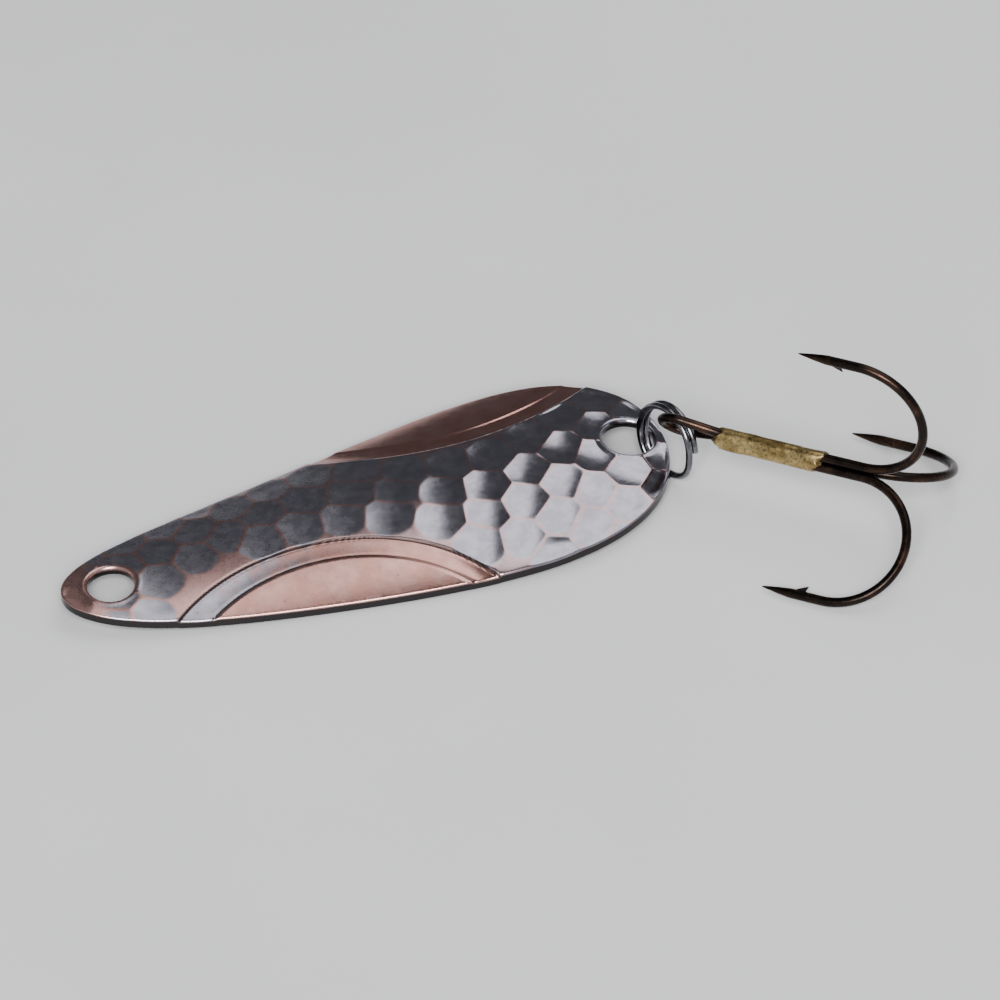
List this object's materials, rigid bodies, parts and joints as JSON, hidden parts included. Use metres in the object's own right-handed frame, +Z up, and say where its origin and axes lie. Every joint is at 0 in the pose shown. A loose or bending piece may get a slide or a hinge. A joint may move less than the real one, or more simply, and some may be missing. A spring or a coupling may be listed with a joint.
{
  "type": "spoon lure",
  "caption": "Hammered metal spoon lure: a cupped teardrop blade with a split ring through its tail hole and a brazed treble hook swinging on the ring.",
  "frame": {"origin": "centre of the nose hole, half way through the blade", "axes": "+X from the nose to the tail along the blade, +Z up from the crowned side, as the lure lies on a level surface"},
  "size_m": [0.0632, 0.0299, 0.0155],
  "materials": {
    "blade_plating": "hammered, nickel and copper plated",
    "ring_steel": "polished nickel",
    "hook_bronze": "dark bronzed",
    "braze_brass": "rough brass solder"
  },
  "bodies": {
    "blade": {"spoon_blade": "blade_plating"},
    "ring": {"split_ring": "ring_steel"},
    "treble": {"double_hook": "hook_bronze", "single_hook": "hook_bronze", "braze": "braze_brass"}
  },
  "joints": [
    {"name": "ring_swing", "type": "hinge", "parent": "blade", "child": "ring", "pos_m": [0.0388, 0, 0], "axis": [0, 0, 1], "range_deg": [0, 100]},
    {"name": "treble_swing", "type": "hinge", "parent": "ring", "child": "treble", "pos_m": [0.041, -0.00218, 0.0012], "axis": [-0.9303, -0.3203, 0.1788], "range_deg": [-90, 40]}
  ]
}
